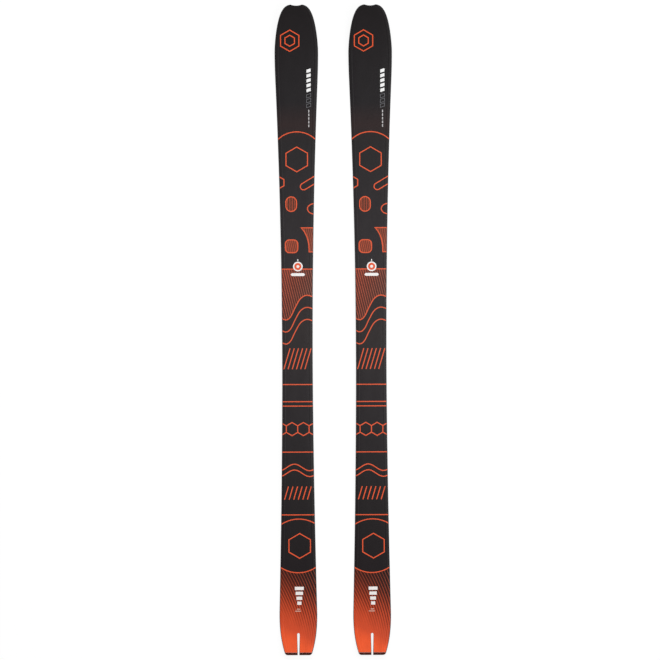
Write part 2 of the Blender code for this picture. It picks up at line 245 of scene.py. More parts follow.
def stations(start, end, extra=()):
    """Stations at an even step, closer together along the nose, and any extra ones."""
    count = int((NOSE_AT - LAYERS_REAR) / STEP)
    shared = [LAYERS_REAR + (NOSE_AT - LAYERS_REAR) * i / count for i in range(count)]
    nose = SKI_LENGTH - NOSE_AT
    shared += [SKI_LENGTH - nose * (1 - i / NOSE_STATIONS) ** 2 for i in range(NOSE_STATIONS)]
    kept = [s for s in shared if start + CLEAR_OF_GIVEN < s < end - CLEAR_OF_END]
    kept = [s for s in kept if all(abs(s - e) > CLEAR_OF_GIVEN for e in extra)]
    return sorted([start, end, *extra, *kept])


# ---------------------------------------------------------------- sections of the fine pieces

def band(half, bottom, top):
    return [(-half, bottom), (half, bottom), (half, top), (-half, top)]


def within(s, rear, front):
    """Whether a station is between these two, or in the gap at either of them."""
    return rear - 1.5 * GAP < s < front + 1.5 * GAP


def topsheet_section(s):
    """Many points across the top, which is where light shows the shape, and few below."""
    outline = half_width(s)
    insets = [inset * MM for inset in SHEET_INSETS]
    upper = [(outline - i, thickness(s) - sheet_drop(s, i)) for i in insets]
    inner = outline - insets[-1]
    upper += [(inner * share, thickness(s)) for share in (0.66, 0.33)]
    upper = [(-x, z) for x, z in upper] + [(0.0, thickness(s))] + upper[::-1]
    under = thickness(s) - TOPSHEET_THICKNESS
    side = outline - TOPSHEET_INSET
    shoulder = outline - BEVEL_INSET
    low = under - bevel_drop(s, TOPSHEET_INSET)
    return upper + [(side, low), (shoulder, under), (-shoulder, under), (-side, low)]


def base_section(s):
    inset = EDGE_HEAD + GAP if within(s, EDGE_REAR, EDGE_FRONT) else 0.0
    half = half_width(s) - inset
    return band(half, 0.0, BASE_THICKNESS)


def edge_section(s, hand):
    """A head with ground, slightly broken corners and a flange that reaches in over the base."""
    outer = half_width(s)
    head = outer - EDGE_HEAD
    inner = outer - EDGE_WIDTH
    cut = EDGE_ROUND
    points = [(head + cut, 0.0), (outer - cut / 2, 0.0), (outer, cut / 2)]
    points += [(outer, EDGE_HEIGHT - cut), (outer - cut, EDGE_HEIGHT), (inner, EDGE_HEIGHT)]
    points += [(inner, FLANGE_BOTTOM), (head, FLANGE_BOTTOM), (head, cut)]
    return [(hand * x, z) for x, z in points]


def sidewall_section(s, hand):
    """The planed strip between edge and topsheet, its outer corners slightly broken."""
    outline = half_width(s)
    under = thickness(s) - UNDER_TOPSHEET
    outer = outline - SIDEWALL_INSET
    leant_in = outline - TOPSHEET_INSET
    inner = outline - SIDEWALL_WIDTH
    cut = EDGE_ROUND
    high = under - bevel_drop(s, TOPSHEET_INSET)
    points = [(inner, SIDEWALL_BOTTOM), (outer - cut, SIDEWALL_BOTTOM)]
    points += [(outer, SIDEWALL_BOTTOM + cut), (leant_in, high - cut), (leant_in - cut, high)]
    points += [(inner, under - bevel_drop(s, SIDEWALL_WIDTH))]
    return [(hand * x, z) for x, z in points]


def filler_section(s):
    """The plastic that fills an end of the ski, with wings over the edges' flanges."""
    outline = half_width(s)
    over_edges = within(s, EDGE_REAR, EDGE_FRONT)
    wing_bottom = SIDEWALL_BOTTOM if over_edges else FLANGE_BOTTOM
    keel_bottom = CORE_BOTTOM if over_edges else FLANGE_BOTTOM
    under_laminate = within(s, EDGE_REAR, LAMINATE_FRONT)
    under = thickness(s) - UNDER_TOPSHEET
    top = thickness(s) - UNDER_LAMINATE if under_laminate else under
    shoulder = outline - BEVEL_INSET
    outer = outline - SIDEWALL_INSET
    side = [
        (outline - EDGE_WIDTH - GAP, keel_bottom),
        (outline - EDGE_WIDTH - GAP / 2, wing_bottom),
        (outer - EDGE_ROUND, wing_bottom),
        (outer, wing_bottom + EDGE_ROUND),
        (outline - TOPSHEET_INSET, under - bevel_drop(s, TOPSHEET_INSET)),
        (shoulder + GAP / 3, under),
        (shoulder, top),
    ]
    return side + [(-x, z) for x, z in reversed(side)]


def cap_section(s, hand):
    """Half of the moulded strip across the tail end, every long corner eased."""
    corner = max(0.0, TAIL_CORNER_RADIUS - s)
    rounded_off = TAIL_CORNER_RADIUS - math.sqrt(TAIL_CORNER_RADIUS**2 - corner**2)
    outer = half_width(s) - rounded_off
    shoulder = outer - (BEVEL_INSET - TOPSHEET_INSET)
    low = thickness(s) - bevel_drop(s, TOPSHEET_INSET)
    inner = SLOT_MOUTH_HALF_WIDTH
    ease = 2 * EDGE_ROUND
    points = [(inner + ease, 0.0), (outer - ease, 0.0), (outer, ease), (outer, low - ease)]
    points += [(outer - ease, low), (shoulder, thickness(s)), (inner + ease, thickness(s))]
    points += [(inner, thickness(s) - ease), (inner, ease)]
    return [(hand * x, z) for x, z in points]


# ---------------------------------------------------------------- meshes

def add_object(name, data):
    new = bpy.data.objects.new(name, data)
    bpy.context.scene.collection.objects.link(new)
    return new


def add_piece(name, mesh, side, material):
    """A piece of one ski, moved from the ski's own frame to the ski's place."""
    mesh.materials.append(MATERIALS[material])
    piece = add_object(name, mesh)
    low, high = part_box(f"{side}_topsheet")
    piece.location = ((low.x + high.x) / 2, TAIL_END_Y, 0.0)
    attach(piece, f"{side}_ski")
    return piece


def shade(mesh):
    """Smooth shading, with the corners kept."""
    mesh.shade_smooth()
    mesh.set_sharp_from_angle(angle=SHARP_ANGLE)
    return mesh


def finish_mesh(shape, name):
    mesh = bpy.data.meshes.new(name)
    shape.to_mesh(mesh)
    shape.free()
    return shade(mesh)


def wall_faces(shape, near, far):
    """Faces between two closed rings of vertices."""
    for i in range(len(near)):
        j = (i + 1) % len(near)
        shape.faces.new((near[i], near[j], far[j], far[i]))


def close_ends(shape, first, last):
    shape.faces.new(first)
    shape.faces.new(last[::-1])
    bmesh.ops.recalc_face_normals(shape, faces=shape.faces)


def loft(name, along, section):
    """A closed body through a section at each station."""
    shape = bmesh.new()
    rings = []
    for s in along:
        lift = base_height(s)
        rings.append([shape.verts.new((x, s, lift + z)) for x, z in section(s)])
    for near, far in zip(rings, rings[1:]):
        wall_faces(shape, near, far)
    close_ends(shape, rings[0], rings[-1])
    return finish_mesh(shape, name)


def prism(name, outline):
    """A tall upright cutter with this (x, station) outline."""
    shape = bmesh.new()
    low = [shape.verts.new((x, s, CUTTER_BOTTOM)) for x, s in outline]
    high = [shape.verts.new((x, s, CUTTER_TOP)) for x, s in outline]
    wall_faces(shape, low, high)
    close_ends(shape, low, high)
    return finish_mesh(shape, name)


def notch_depth(x):
    """How far the tip's hollow goes back from the end, at this distance from the centre line."""
    radius = (NOTCH_HALF_WIDTH**2 + NOTCH_DEPTH**2) / (2 * NOTCH_DEPTH)
    return math.sqrt(radius**2 - x**2) - (radius - NOTCH_DEPTH)


def notch_outline():
    reach = NOTCH_HALF_WIDTH * NOTCH_REACH
    across = [reach * (2 * i / NOTCH_STEPS - 1) for i in range(NOTCH_STEPS + 1)]
    beyond = SKI_LENGTH + CUT_BEYOND_TIP
    return [(x, SKI_LENGTH - notch_depth(x)) for x in across] + [(reach, beyond), (-reach, beyond)]


def slot_side(clearance=0.0):
    """One side of the tail slot, from its mouth to its round inner end."""
    points = [(SLOT_MOUTH_HALF_WIDTH + clearance, s) for s in (-CUT_BEYOND_TAIL, CAP_DEPTH)]
    radius = SLOT_HALF_WIDTH + clearance
    centre = SLOT_LENGTH - SLOT_HALF_WIDTH
    for i in range(SLOT_ROUND_STEPS + 1):
        turn = math.pi / 2 * i / SLOT_ROUND_STEPS
        points.append((radius * math.cos(turn), centre + radius * math.sin(turn)))
    return points


def slot_outline():
    half = slot_side()
    return half + [(-x, s) for x, s in reversed(half[:-1])]


def cut_mesh(mesh, outlines):
    """The mesh with these upright cuts made in it."""
    name = mesh.name
    body = add_object("cut_body", mesh)
    cutters = []
    for outline in outlines:
        cutter = add_object("cutter", prism("cutter", outline))
        boolean = body.modifiers.new("cut", "BOOLEAN")
        boolean.operation = "DIFFERENCE"
        boolean.object = cutter
        cutters.append(cutter)
    bpy.context.view_layer.update()
    graph = bpy.context.evaluated_depsgraph_get()
    result = bpy.data.meshes.new_from_object(body.evaluated_get(graph))
    for old in [body, *cutters]:
        old_mesh = old.data
        bpy.data.objects.remove(old)
        bpy.data.meshes.remove(old_mesh)
    result.name = name
    result.materials.clear()
    return shade(result)


# ---------------------------------------------------------------- materials

NOISE_LOW, NOISE_HIGH = 0.3, 0.7  # most of a noise texture's values lie between these
COAT_ROUGHNESS = 0.25
PRINT_SPECULAR = 0.15


def linear(code):
    """Linear RGBA from a colour written as six hexadecimal digits."""
    parts = [int(code[i:i + 2], 16) / 255 for i in (0, 2, 4)]
    return (*[((p + 0.055) / 1.055) ** 2.4 if p > 0.04045 else p / 12.92 for p in parts], 1.0)


class Surface:
    """A Principled material and short ways to add the nodes that feed it."""

    def __init__(self, name, roughness=0.5, metallic=0.0, specular=0.5, coat=0.0):
        self.material = bpy.data.materials.new(name)
        self.material.use_nodes = True
        self.tree = self.material.node_tree
        self.shader = self.tree.nodes["Principled BSDF"]
        self.shader.inputs["Roughness"].default_value = roughness
        self.shader.inputs["Metallic"].default_value = metallic
        self.shader.inputs["Specular IOR Level"].default_value = specular
        self.shader.inputs["Coat Weight"].default_value = coat
        self.shader.inputs["Coat Roughness"].default_value = COAT_ROUGHNESS
        self.place = self.add("ShaderNodeTexCoord").outputs["Object"]

    def add(self, kind, **settings):
        node = self.tree.nodes.new(kind)
        for key, value in settings.items():
            setattr(node, key, value)
        return node

    def link(self, source, target):
        self.tree.links.new(source, target)

    def stretched(self, scale, turn=0.0):
        """Object coordinates scaled differently along each axis."""
        mapping = self.add("ShaderNodeMapping")
        mapping.inputs["Scale"].default_value = scale
        mapping.inputs["Rotation"].default_value = (0.0, 0.0, turn)
        self.link(self.place, mapping.inputs["Vector"])
        return mapping.outputs["Vector"]

    def noise(self, scale, detail=3.0, roughness=0.55):
        """Noise whose grains are 1 / scale metres along each axis."""
        texture = self.add("ShaderNodeTexNoise")
        texture.inputs["Scale"].default_value = 1.0
        texture.inputs["Detail"].default_value = detail
        texture.inputs["Roughness"].default_value = roughness
        self.link(self.stretched(scale), texture.inputs["Vector"])
        return texture.outputs["Fac"]

    def axis(self, letter):
        split = self.add("ShaderNodeSeparateXYZ")
        self.link(self.place, split.inputs[0])
        return split.outputs[letter]

    def math(self, operation, first, second=0.0, clamp=False):
        node = self.add("ShaderNodeMath", operation=operation, use_clamp=clamp)
        for socket, value in zip(node.inputs, (first, second)):
            if isinstance(value, (int, float)):
                socket.default_value = value
            else:
                self.link(value, socket)
        return node.outputs[0]

    def spread(self, value, low=NOISE_LOW, high=NOISE_HIGH, to_low=0.0, to_high=1.0):
        """Value moved from one range to another, and kept inside it."""
        node = self.add("ShaderNodeMapRange")
        self.link(value, node.inputs["Value"])
        node.inputs["From Min"].default_value = low
        node.inputs["From Max"].default_value = high
        node.inputs["To Min"].default_value = to_low
        node.inputs["To Max"].default_value = to_high
        return node.outputs[0]

    def along_ski(self):
        """0 at the tail end to 1 at the tip."""
        return self.spread(self.axis("Y"), 0.0, SKI_LENGTH)

    def ramp(self, factor, stops):
        """Colour along a factor; stops are (position, six-digit colour)."""
        node = self.add("ShaderNodeValToRGB")
        elements = node.color_ramp.elements
        while len(elements) < len(stops):
            elements.new(0.5)
        for element, (position, code) in zip(elements, stops):
            element.position = position
            element.color = linear(code)
        self.link(factor, node.inputs[0])
        return node.outputs["Color"]

    def colour(self, source):
        self.link(source, self.shader.inputs["Base Color"])

    def vary_roughness(self, factor, low, high):
        spread = self.spread(factor, to_low=low, to_high=high)
        self.link(spread, self.shader.inputs["Roughness"])

    def bump(self, height, distance, strength=1.0):
        node = self.add("ShaderNodeBump")
        node.inputs["Strength"].default_value = strength
        node.inputs["Distance"].default_value = distance
        self.link(height, node.inputs["Height"])
        self.link(node.outputs["Normal"], self.shader.inputs["Normal"])


def satin_skin(surface, colour_source):
    """What every printed skin on the topsheet shares: a faint mottle, a fine grain, long scuffs."""
    mottle = surface.noise((60.0, 25.0, 60.0), 4.0)
    bright = surface.add("ShaderNodeHueSaturation")
    surface.link(surface.spread(mottle, to_low=0.93, to_high=1.07), bright.inputs["Value"])
    surface.link(colour_source, bright.inputs["Color"])
    surface.colour(bright.outputs["Color"])
    scuffs = surface.noise((900.0, 12.0, 900.0), 2.0)
    surface.vary_roughness(scuffs, 0.34, 0.46)
    surface.bump(surface.noise((2600.0, 2600.0, 2600.0), 2.0), 0.00002, 0.5)


def make_print(name, stops):
    """A printed colour that changes along the ski; stops are positions from tail to tip."""
    surface = Surface(name, specular=PRINT_SPECULAR)
    satin_skin(surface, surface.ramp(surface.along_ski(), stops))
    return surface.material


def make_slanted_print(name, origin, direction, stops):
    """A printed colour that changes along a slanted direction across the sheet."""
    surface = Surface(name, specular=PRINT_SPECULAR)
    parts = []
    for letter, start, slope in zip("XY", origin, direction):
        offset = surface.math("SUBTRACT", surface.axis(letter), start)
        parts.append(surface.math("MULTIPLY", offset, slope))
    satin_skin(surface, surface.ramp(surface.math("ADD", *parts, clamp=True), stops))
    return surface.material


def make_lengthwise(name, stops, roughness, grain, metallic=0.0, distance=0.00003, specular=0.5):
    """Anything ground, planed or drawn along the ski: fine lines along Y in colour and relief."""
    surface = Surface(name, metallic=metallic, specular=specular)
    lines = surface.noise((grain, 4.0, grain), 4.0, 0.6)
    surface.colour(surface.ramp(surface.spread(lines), stops))
    surface.vary_roughness(lines, *roughness)
    surface.bump(lines, distance, 0.6)
    return surface.material


def make_moulded(name, stops, roughness, grain=1800.0, specular=0.25):
    """Moulded plastic or rubber: soft clouds of tone and a fine pebbled skin."""
    surface = Surface(name, specular=specular)
    cloud = surface.noise((90.0, 90.0, 90.0), 3.0)
    surface.colour(surface.ramp(surface.spread(cloud), stops))
    surface.vary_roughness(cloud, *roughness)
    surface.bump(surface.noise((grain, grain, grain), 2.0), 0.00003, 0.5)
    return surface.material


def make_wood(name, stops):
    """Planed wood: long growth lines along Y, slightly wavy, with fine pores between them."""
    surface = Surface(name)
    drift = surface.noise((30.0, 2.0, 30.0), 3.0)
    rings = surface.noise((420.0, 5.0, 420.0), 5.0, 0.65)
    halves = [surface.math("MULTIPLY", part, 0.5) for part in (drift, rings)]
    grain = surface.math("ADD", *halves)
    surface.colour(surface.ramp(surface.spread(grain, 0.35, 0.65), stops))
    surface.vary_roughness(rings, 0.6, 0.8)
    surface.bump(surface.noise((1500.0, 25.0, 1500.0), 2.0), 0.00005, 0.7)
    return surface.material


def make_glass_fibre():
    """Straw-coloured laminate: two sets of bundled fibres crossing at 45 degrees."""
    surface = Surface("glass_fibre_laminate", coat=0.3)
    sets = []
    for turn in (math.pi / 4, -math.pi / 4):
        wave = surface.add("ShaderNodeTexWave", wave_type="BANDS", bands_direction="X")
        wave.inputs["Scale"].default_value = 1.0
        wave.inputs["Distortion"].default_value = 0.6
        surface.link(surface.stretched((190.0, 190.0, 190.0), turn), wave.inputs["Vector"])
        sets.append(wave.outputs["Fac"])
    weave = surface.math("MAXIMUM", *sets)
    surface.colour(surface.ramp(weave, ((0.0, "8f8a63"), (0.6, "b5ad83"), (1.0, "cfc79c"))))
    surface.vary_roughness(weave, 0.35, 0.55)
    surface.bump(weave, 0.00008, 0.6)
    return surface.material


# Charcoal: neutral at the tip, warmer over the shovel, lighter in the middle, dark at the tail
SHEET_STOPS = (
    (0.00, "1b1517"), (0.14, "1b1517"), (0.23, "1f1b1c"), (0.40, "292527"), (0.50, "2f2a2a"),
    (0.62, "2d292b"), (0.72, "282426"), (0.79, "232021"), (0.815, "2c2020"), (0.85, "1e1b1d"),
    (1.00, "1a1617"),
)
TAIL_PANEL_STOPS = (
    (0.0, "1d1210"), (0.25, "3c150d"), (0.5, "7a2811"), (0.72, "cc4822"), (0.87, "f05a2b"),
    (1.0, "f65f2f"),
)
TAIL_STRIPE_STOPS = (
    (0.0, "80402f"), (0.25, "903c26"), (0.5, "c44827"), (0.74, "d24c29"), (0.85, "f25a2c"),
    (1.0, "f85f30"),
)
FIELD_PANEL_STOPS = ((0.0, "74372b"), (0.5, "5c3027"), (1.0, "4c2d27"))
FIELD_HATCH_STOPS = ((0.0, "cc5a40"), (0.5, "a85a46"), (1.0, "8a6052"))

# Where the slanted colours start, in metres
FIELD_CORNER = (-0.045, 1.057)
TAIL_CORNER = (0.045, 0.235)

MATERIALS = {
    "topsheet": make_print("charcoal_topsheet", SHEET_STOPS),
    "orange": make_print("orange_print", ((0.0, "ec5a32"), (0.5, "e2603e"), (1.0, "e85a32"))),
    "white": make_print("white_print", ((0.0, "f4efec"), (1.0, "f5f5f5"))),
    "grey": make_print("grey_print", ((0.0, "77777a"), (1.0, "6d6d71"))),
    "pale": make_print("pale_print", ((0.0, "d9a08c"), (0.3, "c8c0bd"), (1.0, "b9b9bb"))),
    "window_panel": make_print(
        "window_panel_print", ((0.0, "783a2a"), (0.64, "783a2a"), (0.68, "442b21"))),
    "field_panel": make_slanted_print(
        "field_panel_print", FIELD_CORNER, (8.0, -4.5), FIELD_PANEL_STOPS),
    "field_hatch": make_slanted_print(
        "field_hatch_print", FIELD_CORNER, (8.0, -2.0), FIELD_HATCH_STOPS),
    "tail_panel": make_slanted_print(
        "tail_panel_print", TAIL_CORNER, (-2.8, -3.6), TAIL_PANEL_STOPS),
    "tail_stripes": make_slanted_print(
        "tail_stripe_print", TAIL_CORNER, (-1.8, -3.8), TAIL_STRIPE_STOPS),
    "steel": make_lengthwise(
        "ground_steel", ((0.0, "9a9b9d"), (0.5, "b4b5b7"), (1.0, "c9cacc")),
        roughness=(0.22, 0.38), grain=2500.0, metallic=1.0),
    "base": make_lengthwise(
        "stone_ground_base", ((0.0, "0f0f10"), (0.5, "161617"), (1.0, "202022")),
        roughness=(0.38, 0.55), grain=1400.0, distance=0.00006),
    "sidewall": make_lengthwise(
        "planed_sidewall", ((0.0, "141415"), (0.5, "1b1b1c"), (1.0, "262627")),
        roughness=(0.42, 0.6), grain=900.0, specular=0.25),
    "plate": make_lengthwise(
        "rolled_aluminium", ((0.0, "b0b1b3"), (1.0, "cfd0d2")),
        roughness=(0.3, 0.42), grain=1600.0, metallic=1.0),
    "filler": make_moulded(
        "filler_plastic", ((0.0, "161617"), (1.0, "202022")), roughness=(0.42, 0.58)),
    "tail_cap": make_moulded(
        "tail_cap_plastic", ((0.0, "3a150c"), (1.0, "4a1d10")),
        roughness=(0.45, 0.6), specular=0.08),
    "rubber": make_moulded(
        "damping_rubber", ((0.0, "141414"), (1.0, "1e1e1e")), roughness=(0.75, 0.9), grain=2500.0),
    "laminate": make_glass_fibre(),
    "core_centre": make_wood("light_wood", ((0.0, "b98c58"), (0.5, "d0a774"), (1.0, "e0bd8e"))),
    "core_stringer": make_wood("dense_wood", ((0.0, "8a5a35"), (0.5, "a97548"), (1.0, "bd8a5a"))),
}


# ---------------------------------------------------------------- outlines of the prints, in mm

def arc(x, s, radius, start, end, steps=48, stretch=1.0):
    """Points on a circle, or on an ellipse longer along the ski; degrees, 90 towards the tip."""
    turns = [math.radians(start + (end - start) * i / steps) for i in range(steps + 1)]
    return [(x + radius * math.cos(t), s + radius * stretch * math.sin(t)) for t in turns]


def circle(x, s, radius, stretch=1.0):
    return arc(x, s, radius, 0, 360, 72, stretch)[:-1]


def capsule(x0, x1, s0, s1, radius=None):
    """An upright slot between these sides and ends, its corners rounded."""
    r = (x1 - x0) / 2 if radius is None else radius
    centres = ((x1 - r, s1 - r), (x0 + r, s1 - r), (x0 + r, s0 + r), (x1 - r, s0 + r))
    points = []
    for quarter, (x, s) in enumerate(centres):
        points += arc(x, s, r, 90 * quarter, 90 * quarter + 90, 12)
    return points


def hexagon(x, s, radius):
    """With a corner towards the tip."""
    turns = [2 * math.pi * i / 6 for i in range(6)]
    return [(x + radius * math.sin(t), s + radius * math.cos(t)) for t in turns]


def rectangle(x0, x1, s0, s1):
    return [(x0, s0), (x1, s0), (x1, s1), (x0, s1)]


def spline(p, q, r, v, t):
    """A Catmull-Rom spline's value between q and r."""
    squared = (2 * p - 5 * q + 4 * r - v) * t**2
    cubed = (3 * q - p - 3 * r + v) * t**3
    return 0.5 * (2 * q + (r - p) * t + squared + cubed)


def curve_through(points):
    """A smooth curve through these points."""
    ends = [points[0], *points, points[-1]]
    curve = []
    for i in range(1, len(ends) - 2):
        for k in range(CURVE_STEPS):
            curve.append(tuple(spline(*near, k / CURVE_STEPS) for near in zip(*ends[i - 1:i + 3])))
    return curve + [points[-1]]


def without_repeats(path, closed):
    """The path's points as vectors, without any that lies on the one before it."""
    points = []
    for point in map(Vector, path):
        if not points or (point - points[-1]).length > SAME_POINT:
            points.append(point)
    if closed and (points[0] - points[-1]).length < SAME_POINT:
        points.pop()
    return points


def counterclockwise(outline):
    area = sum(a[0] * b[1] - b[0] * a[1] for a, b in zip(outline, outline[1:] + outline[:1]))
    return outline if area > 0 else outline[::-1]


def stroke(path, width=LINE_WIDTH, closed=False):
    """Four-sided pieces that together make a line of this width along the path."""
    points = without_repeats(path, closed)
    count = len(points)
    sides = []
    for i, here in enumerate(points):
        into = (here - points[i - 1]).normalized()
        out = (points[(i + 1) % count] - here).normalized()
        if i == 0 and not closed:
            into = out
        if i == count - 1 and not closed:
            out = into
        normal_in = Vector((-into.y, into.x))
        normal_out = Vector((-out.y, out.x))
        mitre = (normal_in + normal_out).normalized()
        reach = width / 2 / max(MITRE_LIMIT, mitre.dot(normal_out))
        sides.append((here + mitre * reach, here - mitre * reach))
    pieces = []
    for i in range(count if closed else count - 1):
        (a_left, a_right), (b_left, b_right) = sides[i], sides[(i + 1) % count]
        forward = points[(i + 1) % count] - points[i]
        if (b_left - a_left).dot(forward) <= 0:
            quad = [a_right, b_right, (a_left + b_left) / 2]
        elif (b_right - a_right).dot(forward) <= 0:
            quad = [a_left, (a_right + b_right) / 2, b_left]
        else:
            quad = [a_left, a_right, b_right, b_left]
        pieces.append([tuple(corner) for corner in quad])
    return pieces


# ---------------------------------------------------------------- prints as thin skins on the sheet

def sheet_height(x, s):
    """Height of the topsheet's upper face; it follows the facets of the sheet's own section."""
    inset = half_width(s) - abs(x)
    insets = [i * MM for i in SHEET_INSETS]
    if inset >= insets[-1]:
        drop = 0.0
    elif inset <= insets[0]:
        drop = sheet_drop(s, insets[0])
    else:
        k = next(i for i, edge in enumerate(insets) if edge > inset)
        near, far = insets[k - 1], insets[k]
        share = (inset - near) / (far - near)
        drop = sheet_drop(s, near) * (1 - share) + sheet_drop(s, far) * share
    return base_height(s) + thickness(s) - drop


def sheet_outline():
    """The printable face in mm: the sheet's outline with the tail slot let in."""
    front = SKI_LENGTH - NOTCH_DEPTH - PRINT_EDGE
    along = stations(LAYERS_REAR + PRINT_TAIL_EDGE, front)
    right = [((half_width(s) - PRINT_EDGE) / MM, s / MM) for s in along]
    left = [(-x, s) for x, s in reversed(right)]
    slot = [(x / MM, s / MM) for x, s in slot_side(PRINT_SLOT_EDGE) if s > LAYERS_REAR]
    slot = [(slot[0][0] - MOUTH_DRAWN_IN, right[0][1])] + slot
    around = [(-x, s) for x, s in slot] + [(x, s) for x, s in reversed(slot[:-1])]
    return right + left + around


def grid_lines(low, high):
    """The topsheet's own grid between two stations: points in mm and the edges that join them."""
    whole = stations(LAYERS_REAR, SKI_LENGTH)
    along = [s for s in whole if low - GRID_MARGIN < s / MM < high + GRID_MARGIN]
    points = []
    edges = []
    for row, s in enumerate(along):
        outline = half_width(s) / MM
        right = [outline - inset for inset in SHEET_INSETS]
        line = [-x for x in right] + [0.0] + right[::-1]
        first = row * len(line)
        points += [(x, s / MM) for x in line]
        edges += [(first + i, first + i + 1) for i in range(len(line) - 1)]
        if row:
            edges += [(first + i, first + i - len(line)) for i in range(len(line))]
    return points, edges


def cut_out(shapes, regions):
    """Triangles, in mm, of what lies in any of the shapes and in all of the regions."""
    stations_in_use = [p[1] for shape in shapes for p in shape]
    points, edges = grid_lines(min(stations_in_use), max(stations_in_use))
    faces = []
    for outline in shapes + regions:
        first = len(points)
        points += counterclockwise(outline)
        faces.append(list(range(first, len(points))))
    places = [Vector(point) for point in points]
    found = delaunay_2d_cdt(places, edges, faces, 0, CUT_TOLERANCE, True)
    corners, triangles, sources = found[0], found[2], found[5]
    needed = set(range(len(shapes), len(faces)))
    kept = []
    for triangle, source in zip(triangles, sources):
        if needed <= set(source) and any(i < len(shapes) for i in source):
            kept.append(triangle)
    return corners, kept


def faces_up(a, b, c):
    """Whether three corners turn counter-clockwise, seen from above."""
    return (b[0] - a[0]) * (c[1] - a[1]) > (b[1] - a[1]) * (c[0] - a[0])


def skin_mesh(name, shapes, regions, height):
    """A thin closed skin in these shapes, lying on the topsheet."""
    corners, triangles = cut_out(shapes, regions)
    used = sorted({i for triangle in triangles for i in triangle})
    place = {old: new for new, old in enumerate(used)}
    top = []
    for i in used:
        x, s = corners[i] * MM
        top.append((x, s, sheet_height(x, s)))
    count = len(top)
    points = [(x, s, z + height) for x, s, z in top]
    points += [(x, s, z - PRINT_UNDERSIDE) for x, s, z in top]
    upper = []
    for triangle in triangles:
        a, b, c = (place[i] for i in triangle)
        upper.append((a, b, c) if faces_up(top[a], top[b], top[c]) else (a, c, b))
    directed = {(t[i], t[(i + 1) % 3]) for t in upper for i in range(3)}
    walls = [(b, a, a + count, b + count) for a, b in directed if (b, a) not in directed]
    lower = [tuple(i + count for i in reversed(t)) for t in upper]
    mesh = bpy.data.meshes.new(name)
    mesh.from_pydata(points, [], upper + lower + sorted(walls))
    mesh.validate()
    return shade(mesh)


# ---------------------------------------------------------------- the graphics of one topsheet

SHEET_SIDE = 60  # beyond the sheet's widest half, for lines that run off it
FIELD_FRONT = 1057
ARC_RADIUS = 86.5
TAIL_ARC_CENTRE = 312
SLANT = math.radians(31)
COMB_AT = 619
COMB_RADIUS = 18.0
COMB_PITCH = COMB_RADIUS * math.sqrt(3.0)
WAVE_HEIGHT = 9
WAVE_TURN = 4.3  # degrees for each mm across
WAVE_START = 130
BLOCK_PITCH = 13.2
BADGE_PLACE = (2, 1064)
STRIPE_NUMBERS = range(-8, 18)
STRIPE_STATIONS = range(7, 248, 8)
STRIPE_PITCH = 5.4  # at the tail end
STRIPE_PITCH_GAIN = 2.9  # over the stripes' length
STRIPES_LENGTH = 225
STRIPES_START = 46  # where stripe 0 is at the tail end
STRIPE_BEND = 0.00118


def across_sheet(s):
    return [(-SHEET_SIDE, s), (SHEET_SIDE, s)]


def field_lower_edge(back=0):
    """The hatched field's lower edge, one long wave, or the same line this far behind it."""
    points = [(-60, 936), (-44, 923), (-30, 918), (-18, 927), (-6, 951)]
    points += [(8, 975), (24, 985), (40, 982), (60, 972)]
    return [(x, s - back) for x, s in curve_through(points)]


def wave(s):
    """One sine wave across the sheet."""
    across = range(-SHEET_SIDE, SHEET_SIDE + 1, 2)
    turns = [math.radians(WAVE_TURN * x + WAVE_START) for x in across]
    return [(x, s + WAVE_HEIGHT * math.sin(turn)) for x, turn in zip(across, turns)]


def slanted_lines(s0, s1, pitch, lean):
    """Six parallel lines across the ski; lean is how far each shifts across for each mm ahead."""
    shift = (s1 - s0) * lean / 2
    middles = [(i - 2.5) * pitch for i in range(6)]
    return [[(x - shift, s0), (x + shift, s1)] for x in middles]


def hatch(x0, x1, s0, s1, pitch, width, lean=0.0):
    """Parallel lines over a box; lean is how far they shift across for each mm back."""
    reach = (s1 - s0) * lean
    count = int((x1 - x0 + abs(reach)) / pitch) + 1
    start = x0 - max(0.0, reach)
    lines = []
    half = width / 2
    for i in range(count):
        x = start + i * pitch
        end = x + reach
        lines.append([(x - half, s1), (x + half, s1), (end + half, s0), (end - half, s0)])
    return lines


def slanted_bar():
    """A bar that runs off the right side, its inner end rounded."""
    half, length = 9.0, 60.0
    start = Vector((18.5, 1283.0))
    across = Vector((-math.sin(SLANT), math.cos(SLANT))) * half
    forward = Vector((math.cos(SLANT), math.sin(SLANT)))
    turn = math.degrees(SLANT)
    end = arc(*start, half, turn + 90, turn + 270, 20)
    far = start + forward * length
    return [tuple(far + across), *end, tuple(far - across)]


def sail():
    """A curved sail against the right side, wide at its top."""
    hollow = curve_through([(12, 1170), (21, 1158), (28, 1142), (32, 1124), (33, 1104)])
    return hollow + [(70, 1104), (70, 1170)]


WINDOW_UPPER = capsule(-30, -1, 1215, 1255)
WINDOW_LOWER = capsule(-32, 2, 1102, 1137, 11)


def closed_lines():
    """Closed outlines, each drawn as one line."""
    comb = [hexagon(cell * COMB_PITCH, COMB_AT, COMB_RADIUS) for cell in (-1.5, -0.5, 0.5, 1.5)]
    return [
        hexagon(-18, 1682, 29),
        hexagon(-18, 1682, 15),
        hexagon(0, 1357.5, 34),
        hexagon(-50, 1294, 17),
        slanted_bar(),
        WINDOW_UPPER,
        circle(49, 1222, 20, 0.72),
        sail(),
        WINDOW_LOWER,
        *comb,
        hexagon(4.3, 299, 34),
    ]


def tail_arc():
    """The arc in front of the tail's stripes."""
    return arc(0, TAIL_ARC_CENTRE, ARC_RADIUS, 225, 315)


